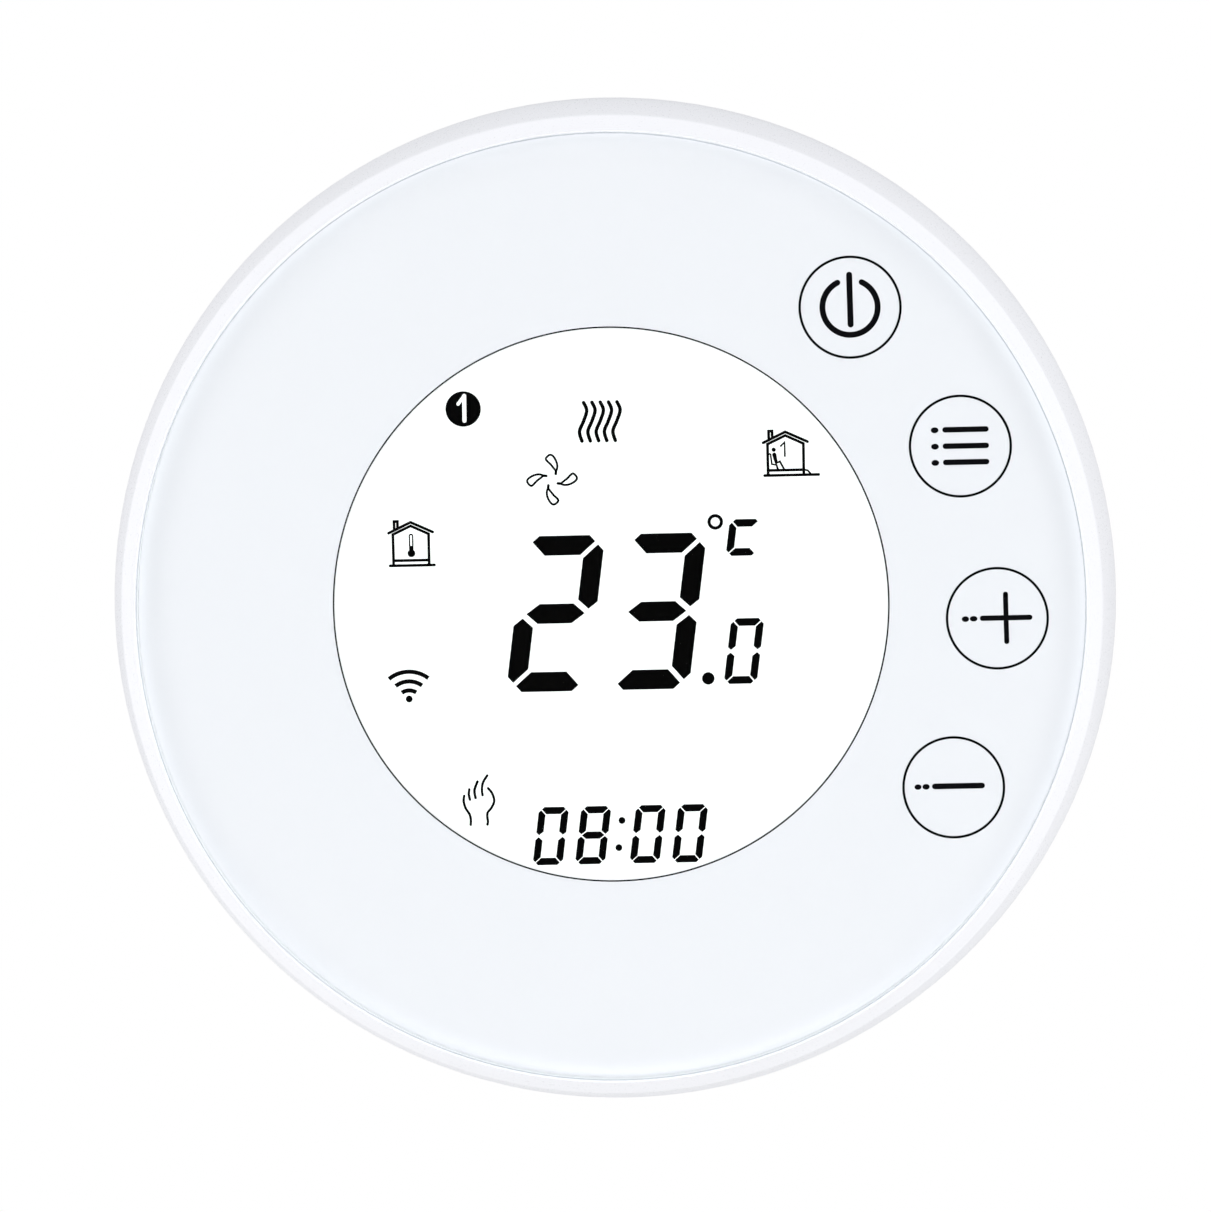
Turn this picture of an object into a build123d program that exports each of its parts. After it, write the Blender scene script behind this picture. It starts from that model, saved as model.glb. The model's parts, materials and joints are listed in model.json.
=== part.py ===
from build123d import *
import os
from math import cos, radians, sin

# A round programmable room thermostat for a 60 mm flush wall box.
# The display head (glass, liquid-crystal display, four touch keys, control board) pulls off a steel
# mounting plate, which carries the power case: supply, relay and a six-way screw terminal block.
#
# Pieces are drawn in a panel frame: X to the right, Y up, Z out of the wall towards the user. The wall
# plane is Z = 0 and the fixing pattern's centre is the origin. write() turns each piece into the part's
# own frame, where +Z is up and the face looks along -Y.

# ---------------------------------------------------------------- driving dimensions, millimetres
CASE_R = 50.0            # largest radius of the display head
FACE_Z = 14.0            # front of the glass above the wall
RIM_Z = 0.4              # back edge of the head's side wall
GLASS_R, GLASS_T = 46.93, 2.0
EDGE_GAP = 0.1           # between the glass and the rim around it
WINDOW_R, WINDOW_Y = 27.5, 0.2  # clear window in the printed mask, and how far its centre sits above the axis
KEY_RING_R = 38.1        # the four touch keys lie on this circle
KEY_ANGLES = [50.1 - 26.4 * n for n in range(4)]
FILM_R, FILM_T = 46.83, 0.1
ADHESIVE_T = 0.15
WEB_T = 1.6              # front web of the housing, which carries the glass
BOARD_T = 1.6            # both circuit boards
COVER_T = 1.2
PLATE_R, PLATE_T = 43.0, 1.2
FIXING_HALF = 30.0       # half of the 60 mm between opposite wall-box screws
FIXING_HOLE_R, FIXING_SLOT = 2.1, 7.0
CASE_HALF, CASE_CORNER = 25.0, 9.0   # power case, a square with cut corners
CASE_WALL = 1.6
CASE_DEPTH, STEP_DEPTH = 27.0, 20.0  # full depth, and depth over the terminals
STEP_Y = -8.5
POLES, POLE_PITCH = 6, 6.0
CLAMP_RISE = 2.375       # 4.75 turns of a 0.5 mm thread
SLIP = 0.1               # gap left where one piece drops into another

# ---------------------------------------------------------------- levels worked out from them
FILM_FRONT = FACE_Z - GLASS_T - 0.01
FILM_BACK = FILM_FRONT - FILM_T
LEDGE_Z = FILM_BACK - ADHESIVE_T
WEB_BACK = LEDGE_Z - WEB_T
BOARD_FRONT = 7.0
BOARD_BACK = BOARD_FRONT - BOARD_T
COVER_BACK = 1.6
COVER_FRONT = COVER_BACK + COVER_T
POWER_FRONT = -3.0
POWER_BACK = POWER_FRONT - BOARD_T
RIM_INNER_R = 48.0       # inside of the rim around the rear cover
WALL_INNER_R = 47.0

# ---------------------------------------------------------------- display stack
LCD_HALF = 29.3
LCD_GLASS_T, POLARIZER_T = 0.7, 0.2
LCD_FRONT = FILM_BACK - 0.15
FRONT_GLASS_Z = LCD_FRONT - POLARIZER_T
REAR_GLASS_Z = FRONT_GLASS_Z - LCD_GLASS_T
LCD_BACK = REAR_GLASS_Z - LCD_GLASS_T
GUIDE_HALF = 28.6
HOLDER_HALF = 31.0
HOLDER_TOP = LCD_FRONT - 0.25
TAIL_HALF = 12.2         # half width of the display's contact ledge, below the window
LEDGE_END = -32.0
STRIP_Y = (-31.6, -29.6)

# ---------------------------------------------------------------- places on the boards
BOARD_R = 44.0
BOARD_SCREWS = [(40.5, a) for a in (85, 160, 235, 310)]
COVER_SCREWS = [(45.6, a) for a in (38, 142, 218, 322)]
TONGUES = [(38.0, a) for a in (45, 135, 225, 315)]
PLUG_Y = 19.5            # plug between the two boards
PIN_PITCH = 2.54
PLUG_PINS = [((i - 1.5) * PIN_PITCH, PLUG_Y + (j - 0.5) * PIN_PITCH) for i in range(4) for j in range(2)]
PLUG_TIP = 4.4
CASE_SCREWS = [(20.5, 17.0), (-20.5, 17.0), (21.0, -5.0), (-21.0, -5.0)]
LEAD_R, LEAD_TIP = 0.3, -2.4

# ---------------------------------------------------------------- terminal block, depths behind the wall
BLOCK_HALF = POLES * POLE_PITCH / 2 + 0.6
BLOCK_Y = (-21.6, -10.2)
POLE_X = [(n - (POLES - 1) / 2) * POLE_PITCH for n in range(POLES)]
CHAMBER_HALF = 2.5
CHAMBER_Y = -20.6
CAGE_HALF, CAGE_Y = 2.4, (-20.3, -14.7)
CAGE_FLOOR, CAGE_SILL, CAGE_LINTEL, CAGE_TOP = 5.7, 6.7, 10.7, 12.2
CLAMP_Y = sum(CAGE_Y) / 2
BAR_DEPTH = (9.8, 10.5)
SHELF = (14.8, 15.8)
SCREW_HEAD_R, SCREW_HEAD_H, SCREW_R = 1.95, 2.2, 1.25

# ---------------------------------------------------------------- relay, depths behind the wall
RELAY_X, RELAY_Y = (-17.8, 1.4), (-6.75, 8.75)
RELAY_MID_Y = sum(RELAY_Y) / 2
RELAY_DEPTH = (5.2, 20.5)
RELAY_WALL = 0.8
COIL_X = -12.9
YOKE_LEG_X = (-8.0, -6.8)
CONTACT_DEPTH = 10.6

# ---------------------------------------------------------------- power parts: (x, y) of their leads
RELAY_LEADS = [(-16.3, -3.2), (-16.3, 5.2), (-7.4, RELAY_MID_Y), (-3.65, RELAY_MID_Y)]
TRANSFORMER = (9.9, 1.0)
TRANSFORMER_LEADS = [(TRANSFORMER[0] + dx, TRANSFORMER[1] + dy) for dx in (-4.5, -1.5, 1.5, 4.5) for dy in (-5.4, 5.4)]
BULK_CAPS = [(9.5, 13.6, 4.0, 12.5), (2.0, 12.3, 3.15, 11.0)]
BULK_LEADS = [(x + dx, y) for x, y, r, _ in BULK_CAPS for dx in (-0.45 * r, 0.45 * r)]
FILM_CAP_X, FILM_CAP_Y = (-15.0, -2.0), (9.2, 14.8)
FILM_LEADS = [(-13.5, 12.0), (-3.5, 12.0)]
VARISTOR = (-13.0, 18.2)
VARISTOR_LEADS = [(-15.5, 18.2), (-10.5, 18.2)]
FUSE_X, FUSE_Y = (8.0, 16.0), (18.5, 22.3)
FUSE_LEADS = [(9.5, 20.4), (14.5, 20.4)]
BAR_LEG_Y = (-12.4, -11.7)
BAR_LEADS = [(x, sum(BAR_LEG_Y) / 2) for x in POLE_X]

UPWARDS = (Align.CENTER, Align.CENTER, Align.MIN)


# ---------------------------------------------------------------- shapes used all over
def block(x, y, z):
    """Box between two corners, given as (low, high) on each axis."""
    corner = Box(x[1] - x[0], y[1] - y[0], z[1] - z[0], align=(Align.MIN, Align.MIN, Align.MIN))
    return Pos(x[0], y[0], z[0]) * corner


def behind(x, y, depth):
    """Box whose depth range is measured behind the wall plane."""
    return block(x, y, (-depth[1], -depth[0]))


def rod(radius, low, high, x=0.0, y=0.0):
    """Round bar along Z."""
    return Pos(x, y, low) * Cylinder(radius, high - low, align=UPWARDS)


def slab(outline, low, high):
    """Flat plate of this outline."""
    return Pos(0, 0, low) * extrude(outline, high - low)


def tube(outer, inner, low, high):
    return rod(outer, low, high) - rod(inner, low - 1, high + 1)


def around(shape, angle):
    return Rot(0, 0, angle) * shape


def spot(radius, angle):
    """(x, y) at this radius and angle about the panel's centre."""
    return radius * cos(radians(angle)), radius * sin(radians(angle))


def cut_square(half, corner):
    """Square with its four corners cut off."""
    flat = half - corner
    ends = [(half, -flat), (half, flat), (flat, half), (-flat, half)]
    return make_face(Polyline(*ends, *[(-x, -y) for x, y in ends], close=True))


def octagon(half):
    return cut_square(half, half * (2 - 2 ** 0.5))


def together(shapes):
    """Several separate solids in one node."""
    return Compound(children=list(shapes))


def turned(profile):
    """Solid of revolution about Z from (radius, z) points."""
    return revolve(make_face(Polyline(*[(r, 0, z) for r, z in profile], close=True)), Axis.Z)


def toothed_shank(radius, length, pitch):
    """Screw shank pointing along -Z from the origin, with thread ridges."""
    teeth = int((length - 0.6) / pitch)
    points = [(0, 0), (radius, 0)]
    for n in range(teeth):
        points += [(radius, -n * pitch - 0.35 * pitch), (0.82 * radius, -n * pitch - 0.7 * pitch)]
        points += [(radius, -(n + 1) * pitch)]
    points += [(0.45 * radius, -length), (0, -length)]
    return turned(points)


def cross_recess(width, span, depth):
    """Cross-shaped driver recess cut down from Z = 0."""
    bar = Box(span, width, 2 * depth)
    return bar + around(bar, 90)


def pan_screw(head_r, head_h, radius, length, pitch):
    """Pan-head screw: head above Z = 0, shank below it."""
    dome = turned([(0, 0), (head_r, 0), (head_r, 0.45 * head_h), (0.62 * head_r, head_h), (0, head_h)])
    recess = Pos(0, 0, head_h) * cross_recess(0.28 * head_r, 1.2 * head_r, 0.55 * head_h)
    return dome - recess + toothed_shank(radius, length, pitch)


def leg_row(count, pitch, reach, height, width):
    """Row of bent chip legs along Y, reaching out along +X and down to Z = 0."""
    bend = [(-0.15, height + 0.07), (0.35 * reach, height + 0.07), (0.6 * reach, 0.15), (reach, 0.15)]
    bend += [(reach, 0), (0.5 * reach, 0), (0.25 * reach, height - 0.07), (-0.15, height - 0.07)]
    one = extrude(make_face(Polyline(*[(x, 0, z) for x, z in bend], close=True)), width / 2, both=True)
    return [Pos(0, (n - (count - 1) / 2) * pitch, 0) * one for n in range(count)]


def chip(length, width, height, legs, pitch, sides=(90, 270)):
    """Moulded chip on its legs, standing on Z = 0. Sides are the directions that its legs face."""
    body = Pos(0, 0, 0.12) * Box(length, width, height, align=UPWARDS)
    body = chamfer(body.edges().group_by(Axis.Z)[-1], 0.12)
    dot = Pos(-0.36 * length, -0.3 * width, 0.12 + height) * Cylinder(0.3, 0.16)
    found = []
    for side in sides:
        out = (length if side % 180 == 0 else width) / 2
        for leg in leg_row(legs, pitch, 1.0, 0.5 * height, 0.42 * pitch):
            found.append(around(Pos(out, 0, 0) * leg, side))
    return body - dot + found


def on_control_back(shape, x, y, turn=0):
    """Places a part that stands on Z = 0 on the back of the control board."""
    return Pos(x, y, BOARD_BACK) * Rot(180, 0, turn) * shape


def leads(places, top):
    """Component leads from the given level down through the power board."""
    return [rod(LEAD_R, top, LEAD_TIP, x, y) for x, y in places]


# ---------------------------------------------------------------- display head: shell and glass
def front_glass():
    pane = rod(GLASS_R, FACE_Z - GLASS_T, FACE_Z)
    return chamfer(pane.edges().sort_by(Axis.Z)[-1], 0.12)


def mask_film():
    """White printed film with the display window."""
    return rod(FILM_R, FILM_BACK, FILM_FRONT) - rod(WINDOW_R, FILM_BACK - 1, FILM_FRONT + 1, 0, WINDOW_Y)


def glass_adhesive():
    return tube(GLASS_R - 0.35, 43.4, LEDGE_Z, FILM_BACK)


def housing_outline():
    """Section through the housing's side wall, lip and web, from the axis outwards."""
    seat, pocket = FILM_R + 0.03, GLASS_R + EDGE_GAP
    lip_top, lip_end = (pocket + 0.12, FACE_Z - 0.15), (48.5, 11.66)
    crease, shoulder = (48.65, 11.26), (49.8, 5.6)
    foot = (CASE_R, RIM_Z + 0.9)
    turn_in = (CASE_R - 0.8, RIM_Z)

    def at(point):
        return (point[0], 0, point[1])

    edges = [
        Line(at((0, LEDGE_Z)), at((seat, LEDGE_Z))),
        Line(at((seat, LEDGE_Z)), at((seat, FILM_FRONT))),
        Line(at((seat, FILM_FRONT)), at((pocket, FILM_FRONT))),
        Line(at((pocket, FILM_FRONT)), at((pocket, FACE_Z - 0.27))),
        Line(at((pocket, FACE_Z - 0.27)), at(lip_top)),
        Line(at(lip_top), at(lip_end)),
        ThreePointArc(at(lip_end), at((48.585, 11.47)), at(crease)),
        ThreePointArc(at(crease), at((49.3, 8.52)), at(shoulder)),
        ThreePointArc(at(shoulder), at((49.95, 4.4)), at((CASE_R, 3.2))),
        Line(at((CASE_R, 3.2)), at(foot)),
        ThreePointArc(at(foot), at((CASE_R - 0.24, RIM_Z + 0.26)), at(turn_in)),
    ]
    inside = [turn_in, (RIM_INNER_R, RIM_Z), (RIM_INNER_R, COVER_FRONT), (WALL_INNER_R, COVER_FRONT)]
    inside += [(WALL_INNER_R, 7.6), (46.2, WEB_BACK), (0, WEB_BACK), (0, LEDGE_Z)]
    edges.append(Polyline(*[at(p) for p in inside]))
    return make_face(edges)


def holder_outline(grow):
    """Outline of the display holder: an octagon with a tail under the contact ledge."""
    tail = Pos(0, -(HOLDER_HALF + 33.6) / 2) * Rectangle(2 * (TAIL_HALF + 1.2 + grow), 33.6 - HOLDER_HALF + 2 * grow + 2)
    return octagon(HOLDER_HALF + grow) + Pos(0, 1) * tail


def front_housing():
    shell = revolve(housing_outline(), Axis.Z)
    for radius, angle in BOARD_SCREWS:
        shell += rod(2.2, BOARD_FRONT, WEB_BACK + 0.2, *spot(radius, angle))
    for radius, angle in COVER_SCREWS:
        shell += rod(2.2, COVER_FRONT, WEB_BACK + 0.2, *spot(radius, angle))
    cuts = [slab(holder_outline(0.2), WEB_BACK - 1, LEDGE_Z + 1)]
    cuts += [rod(3.5, WEB_BACK - 1, LEDGE_Z + 1, *spot(KEY_RING_R, a)) for a in KEY_ANGLES]
    cuts += [rod(1.02, BOARD_FRONT - 1, 11.0, *spot(r, a)) for r, a in BOARD_SCREWS]
    cuts += [rod(1.02, COVER_FRONT - 1, 9.4, *spot(r, a)) for r, a in COVER_SCREWS]
    vent = block((WALL_INNER_R - 2, CASE_R + 2), (-1.6, 1.6), (3.5, 5.0))
    cuts += [around(vent, 270 + a) for a in range(-24, 25, 6)]
    return shell - cuts


def rear_cover():
    plate = rod(RIM_INNER_R - 0.2, COVER_BACK, COVER_FRONT)
    low, high = COVER_BACK - 1, COVER_FRONT + 1
    cuts = [block((-5.7, 5.7), (PLUG_Y - 3.1, PLUG_Y + 3.1), (low, high))]
    head_room = slab(SlotOverall(9.8, 8.2), low, high)
    cuts += [around(Pos(FIXING_HALF, 0) * head_room, a) for a in range(0, 360, 90)]
    cuts += [around(block((r - 0.5, r + 1.7), (-3.4, 3.4), (low, high)), a) for r, a in TONGUES]
    cuts += [rod(1.2, low, high, *spot(r, a)) for r, a in COVER_SCREWS]
    grille = slab(SlotOverall(3.4, 1.3), low, high)
    cuts += [Pos(x, y) * grille for x in (-15, -10, -5, 0, 5, 10, 15) for y in (-38.5, -41.0)]
    rib = tube(24.0, 23.0, COVER_FRONT, COVER_FRONT + 0.2) - block((-6.5, 6.5), (16, 26), (low, high))
    return plate - cuts + rib


# ---------------------------------------------------------------- display head: display stack
def lcd_front_glass():
    """Front pane, longer than the rear one so that its contacts face the board."""
    pane = slab(octagon(LCD_HALF), REAR_GLASS_Z, FRONT_GLASS_Z)
    return pane + block((-TAIL_HALF, TAIL_HALF), (LEDGE_END, -LCD_HALF + 1), (REAR_GLASS_Z, FRONT_GLASS_Z))


def lcd_rear_glass():
    return slab(octagon(LCD_HALF), LCD_BACK, REAR_GLASS_Z)


def lcd_polarizers():
    front = slab(octagon(GUIDE_HALF), FRONT_GLASS_Z, LCD_FRONT)
    rear = slab(octagon(GUIDE_HALF), LCD_BACK - POLARIZER_T, LCD_BACK)
    return together([front, rear])


def lcd_holder():
    frame = slab(holder_outline(0), BOARD_FRONT, HOLDER_TOP)
    frame -= slab(octagon(GUIDE_HALF + 0.15), BOARD_FRONT - 1, HOLDER_TOP + 1)
    frame -= slab(octagon(LCD_HALF + 0.15), LCD_BACK, HOLDER_TOP + 1)
    frame -= block((-TAIL_HALF - 0.15, TAIL_HALF + 0.15), (LEDGE_END - 0.15, -25), (REAR_GLASS_Z, HOLDER_TOP + 1))
    slot_x, slot_y = (-11.7, 11.7), (STRIP_Y[0] - SLIP, STRIP_Y[1] + SLIP)
    frame -= block(slot_x, slot_y, (BOARD_FRONT - 1, HOLDER_TOP))
    pegs = [rod(0.7, BOARD_BACK - 0.6, BOARD_FRONT + 0.5, x, y) for x, y in PEGS]
    return frame + pegs


PEGS = [(-29.8, 0.0), (29.8, 0.0), (0.0, 29.8)]
BACKLIGHT_X = (-8.5, 0.0, 8.5)


def light_guide():
    plate = slab(octagon(GUIDE_HALF), 7.35, LCD_BACK - POLARIZER_T - 0.05)
    bays = [block((x - 2.1, x + 2.1), (GUIDE_HALF - 1.7, GUIDE_HALF + 1), (7, 9)) for x in BACKLIGHT_X]
    return plate - bays


def reflector_sheet():
    sheet = slab(octagon(GUIDE_HALF), 7.08, 7.28)
    return sheet - block((-11.2, 11.2), (GUIDE_HALF - 1.9, GUIDE_HALF + 1), (6, 8))


def zebra_strip():
    """Elastomer connector between the front pane's contacts and the board."""
    return block((-11.5, 11.5), STRIP_Y, (BOARD_FRONT, REAR_GLASS_Z))


# ---------------------------------------------------------------- display head: control board
def control_board():
    board = rod(BOARD_R, BOARD_BACK, BOARD_FRONT)
    low, high = BOARD_BACK - 1, BOARD_FRONT + 1
    cuts = [rod(1.15, low, high, *spot(r, a)) for r, a in BOARD_SCREWS]
    cuts += [rod(2.5, low, high, *spot(r, a)) for r, a in COVER_SCREWS]
    cuts += [rod(0.8, low, high, x, y) for x, y in PEGS]
    return board - cuts


def main_chip():
    return on_control_back(chip(10, 10, 1.4, 11, 0.8, sides=(0, 90, 180, 270)), -10, 3)


def small_chips():
    """Touch controller, clock chip and voltage regulator."""
    touch = on_control_back(chip(9.9, 3.9, 1.5, 7, 1.27), 13.5, 3)
    clock = on_control_back(chip(4.9, 3.9, 1.5, 4, 1.27), -20.5, 13)
    regulator = on_control_back(chip(6.5, 3.5, 1.6, 3, 2.3), 13.5, 11.5)
    return together([touch, clock, regulator])


def radio_module():
    """Small radio board: its antenna end is bare."""
    board = Box(20, 16, 0.8, align=UPWARDS)
    notches = [Pos(x, y, 0) * Cylinder(0.35, 3) for x in range(-8, 5, 2) for y in (-8, 8)]
    return on_control_back(board - notches, 13, -15)


def radio_shield():
    can = Pos(0, 0, 0.8) * Box(13.6, 13.6, 1.55, align=UPWARDS)
    can = fillet(can.edges().filter_by(Axis.Z), 0.6)
    can = fillet(can.edges().group_by(Axis.Z)[-1], 0.25)
    inside = Pos(0, 0, 0.8) * Box(13.2, 13.2, 1.35, align=UPWARDS)
    return on_control_back(can - inside, 10.6, -15)


CELL_X, CELL_Y, CELL_R = -15.5, -15.0, 6.25


def coin_cell():
    can = Cylinder(CELL_R, 2.0, align=UPWARDS)
    can = fillet(can.edges().sort_by(Axis.Z)[-1], 0.3)
    cap = Cylinder(5.0, 0.12, align=UPWARDS)
    return on_control_back(Pos(0, 0, 0.14) * can + cap, CELL_X, CELL_Y)


def cell_holder():
    """Spring clip over the backup cell."""
    strap = Pos(0, 0, 2.16) * Box(15.6, 5.0, 0.2, align=UPWARDS)
    legs = [Pos(7.7 * side, 0, 0) * Box(0.2, 5.0, 2.36, align=UPWARDS) for side in (-1, 1)]
    feet = [Pos(8.6 * side, 0, 0) * Box(2.0, 5.0, 0.2, align=UPWARDS) for side in (-1, 1)]
    return on_control_back(strap + legs + feet, CELL_X, CELL_Y)


def chip_parts():
    """Chip resistors and capacitors around the larger parts."""
    places = [(-18 + 3 * n, 18.0) for n in range(4)] + [(-1.5, -3 + 2.6 * n) for n in range(5)]
    places += [(2.5, -3 + 2.6 * n) for n in range(5)] + [(22.5, -4 + 3 * n) for n in range(4)]
    places += [(-25 + 3 * n, -27) for n in range(5)] + [(-21, -2), (-21, 1), (5, 26.5), (9, 26.5)]
    body = Box(2.0, 1.25, 0.6, align=UPWARDS)
    return together([on_control_back(body, x, y) for x, y in places])


def leds():
    """Three side lamps at the light guide's edge and one lamp inside each key spring."""
    side = Box(3.8, 1.2, 1.1, align=UPWARDS)
    lamps = [Pos(x, GUIDE_HALF - 0.75, BOARD_FRONT) * side for x in BACKLIGHT_X]
    key = Box(1.6, 0.8, 0.6, align=UPWARDS)
    for angle in KEY_ANGLES:
        x, y = spot(KEY_RING_R, angle)
        lamps.append(Pos(x, y, BOARD_FRONT) * key)
    return together(lamps)


def touch_springs():
    """Springs that carry each key's field from the board to the film."""
    wire, coil, turns = 0.22, 2.5, 4
    height = FILM_BACK - BOARD_FRONT - 2 * wire - 0.1
    path = Helix(pitch=height / turns, height=height, radius=coil)
    section = Plane(origin=path @ 0, z_dir=path % 0) * Circle(wire)
    spring = Pos(0, 0, BOARD_FRONT + wire + 0.02) * sweep(section, path, is_frenet=True)
    return together([Pos(*spot(KEY_RING_R, a), 0) * spring for a in KEY_ANGLES])


def head_socket():
    body = block((-5.2, 5.2), (PLUG_Y - 2.6, PLUG_Y + 2.6), (COVER_BACK, BOARD_BACK))
    return body - [block((x - 0.4, x + 0.4), (y - 0.4, y + 0.4), (0, PLUG_TIP + 0.3)) for x, y in PLUG_PINS]


def room_sensor():
    """Bead thermistor on two leads, hanging over the vents."""
    bead = Pos(-9, -44.0, 4.1) * scale(Sphere(1.0), (1.15, 1.0, 1.15))
    wires = []
    for x in (-9.6, -8.4):
        path = Polyline((x, -41.6, BOARD_BACK), (x, -41.6, 4.7), (x, -43.6, 4.1))
        wires.append(sweep(Plane(origin=path @ 0, z_dir=path % 0) * Circle(0.18), path, transition=Transition.ROUND))
    return bead + wires


def board_screws():
    one = Pos(0, 0, BOARD_BACK) * Rot(180, 0, 0) * pan_screw(1.9, 1.2, 1.0, 4.4, 0.7)
    return together([Pos(*spot(r, a), 0) * one for r, a in BOARD_SCREWS])


def cover_screws():
    one = Pos(0, 0, COVER_BACK) * Rot(180, 0, 0) * pan_screw(1.8, 1.0, 1.0, 6.5, 0.7)
    return together([Pos(*spot(r, a), 0) * one for r, a in COVER_SCREWS])


# ---------------------------------------------------------------- base: plate and case
def mounting_plate():
    """Zinc-plated steel plate that screws to the wall box, with four tongues bent up for the head."""
    plate = rod(PLATE_R, 0, PLATE_T)
    slot = slab(SlotOverall(FIXING_SLOT, 2 * FIXING_HOLE_R), -1, PLATE_T + 1)
    cuts = [around(Pos(FIXING_HALF, 0) * slot, a) for a in range(0, 360, 90)]
    cuts.append(slab(Pos(0, PLUG_Y) * RectangleRounded(12.6, 7.4, 1.2), -1, PLATE_T + 1))
    cuts += [around(block((r - 3.6, r), (-3.0, 3.0), (-1, PLATE_T + 1)), a) for r, a in TONGUES]
    sink = turned([(0, -0.2), (1.4, -0.2), (1.4, 0.05), (2.55, PLATE_T + 0.01), (2.55, 2), (0, 2)])
    cuts += [Pos(x, y) * sink for x, y in CASE_SCREWS]
    window = slab(SlotOverall(9.0, 3.6), -1, PLATE_T + 1)
    cuts += [around(Pos(0, -36.0) * window, a) for a in (20, -20, 160, 200)]
    tongue = block((0, 1.0), (-3.0, 3.0), (0, PLUG_TIP)) + Pos(0.9, 0, 3.2) * Rot(90, 0, 0) * Cylinder(0.4, 4.0)
    return plate - cuts + [around(Pos(r, 0) * tongue, a) for r, a in TONGUES]


def power_case():
    """Stepped box behind the plate: shallow over the terminals, deep over the supply."""
    inner_half, inner_corner = CASE_HALF - CASE_WALL, CASE_CORNER - CASE_WALL * (2 - 2 ** 0.5)
    wide = (-CASE_HALF - 1, CASE_HALF + 1)
    shell = slab(cut_square(CASE_HALF, CASE_CORNER), -CASE_DEPTH, 0)
    shell = fillet(shell.edges().group_by(Axis.Z)[0], 1.0)
    shell -= behind(wide, (-CASE_HALF - 1, STEP_Y), (STEP_DEPTH, CASE_DEPTH + 1))
    room = slab(cut_square(inner_half, inner_corner), -STEP_DEPTH + CASE_WALL, 1)
    deep = slab(cut_square(inner_half, inner_corner), -CASE_DEPTH + CASE_WALL, 1)
    room += deep - behind(wide, (-CASE_HALF - 1, STEP_Y + CASE_WALL), (-2, CASE_DEPTH + 1))
    shell -= room
    for x, y in CASE_SCREWS:
        shell += rod(2.6, -CASE_DEPTH + CASE_WALL, 0, x, y)
        shell += rod(2.9, -CASE_DEPTH + CASE_WALL, POWER_BACK, x, y)
    side = (-BLOCK_HALF - SLIP, BLOCK_HALF + SLIP)
    shelf_depth = (-POWER_BACK + 0.2, -POWER_BACK + 1.4)
    shelf = behind(side, (-CASE_HALF + 0.5, BLOCK_Y[0] - SLIP), shelf_depth)
    shell -= behind(side, (-CASE_HALF - 1, BLOCK_Y[0]), (shelf_depth[1], STEP_DEPTH + 1))
    shell -= behind(side, (BLOCK_Y[0] - SLIP, BLOCK_Y[1] + SLIP), (-POWER_BACK, STEP_DEPTH + 1))
    shell += shelf & slab(cut_square(CASE_HALF - 0.5, CASE_CORNER), -CASE_DEPTH, 0)
    snap = block((inner_half - 0.5, inner_half + 0.3), (6, 10), (POWER_FRONT + 0.05, POWER_FRONT + 0.8))
    shell += [snap, around(Pos(0, -16) * snap, 180)]
    pilots = [rod(1.3, -12, 1, x, y) for x, y in CASE_SCREWS]
    vent = Pos(0, 14.0) * slab(SlotOverall(12.0, 1.6, rotation=90), -CASE_DEPTH - 1, -CASE_DEPTH + CASE_WALL + 1)
    return shell - pilots - [Pos(x, 0) * vent for x in range(-12, 13, 4)]


def case_screws():
    head = turned([(0, 0.12), (1.3, 0.12), (2.4, PLATE_T - 0.05), (0, PLATE_T - 0.05)])
    recess = Pos(0, 0, PLATE_T - 0.05) * cross_recess(0.6, 2.6, 0.8)
    one = head - recess + Pos(0, 0, 0.2) * toothed_shank(1.25, 8.2, 0.9)
    return together([Pos(x, y) * one for x, y in CASE_SCREWS])


# ---------------------------------------------------------------- base: power board and plug
def power_board():
    board = slab(cut_square(23.2, 8.2), POWER_BACK, POWER_FRONT)
    low, high = POWER_BACK - 1, POWER_FRONT + 1
    cuts = [rod(2.75, low, high, x, y) for x, y in CASE_SCREWS]
    thin = TRANSFORMER_LEADS + BULK_LEADS + FILM_LEADS + VARISTOR_LEADS + FUSE_LEADS + RELAY_LEADS[:2]
    cuts += [rod(LEAD_R + 0.1, low, high, x, y) for x, y in thin]
    cuts += [rod(0.75, low, high, x, y) for x, y in RELAY_LEADS[2:] + BAR_LEADS]
    cuts += [rod(0.5, low, high, x, y) for x, y in PLUG_PINS]
    return board - cuts


def header_body():
    body = block((-5.1, 5.1), (PLUG_Y - 2.55, PLUG_Y + 2.55), (POWER_FRONT, -0.5))
    return body - [block((x - 0.33, x + 0.33), (y - 0.33, y + 0.33), (-4, 1)) for x, y in PLUG_PINS]


def header_pins():
    pin = block((-0.32, 0.32), (-0.32, 0.32), (POWER_BACK - 1.2, PLUG_TIP))
    pin = chamfer(pin.edges().group_by(Axis.Z)[-1], 0.15)
    return together([Pos(x, y) * pin for x, y in PLUG_PINS])


def power_chips():
    """Bridge rectifier, switching chip and diode on the side that faces the plate."""
    bridge = Pos(12, -16.8, POWER_FRONT) * chip(4.7, 3.9, 2.2, 2, 2.5)
    switcher = Pos(*TRANSFORMER, POWER_FRONT) * chip(4.9, 3.9, 1.5, 4, 1.27)
    diode = Pos(-12, -16.8, POWER_FRONT) * Box(4.4, 2.6, 2.2, align=UPWARDS)
    return together([bridge, switcher, diode])


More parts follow.
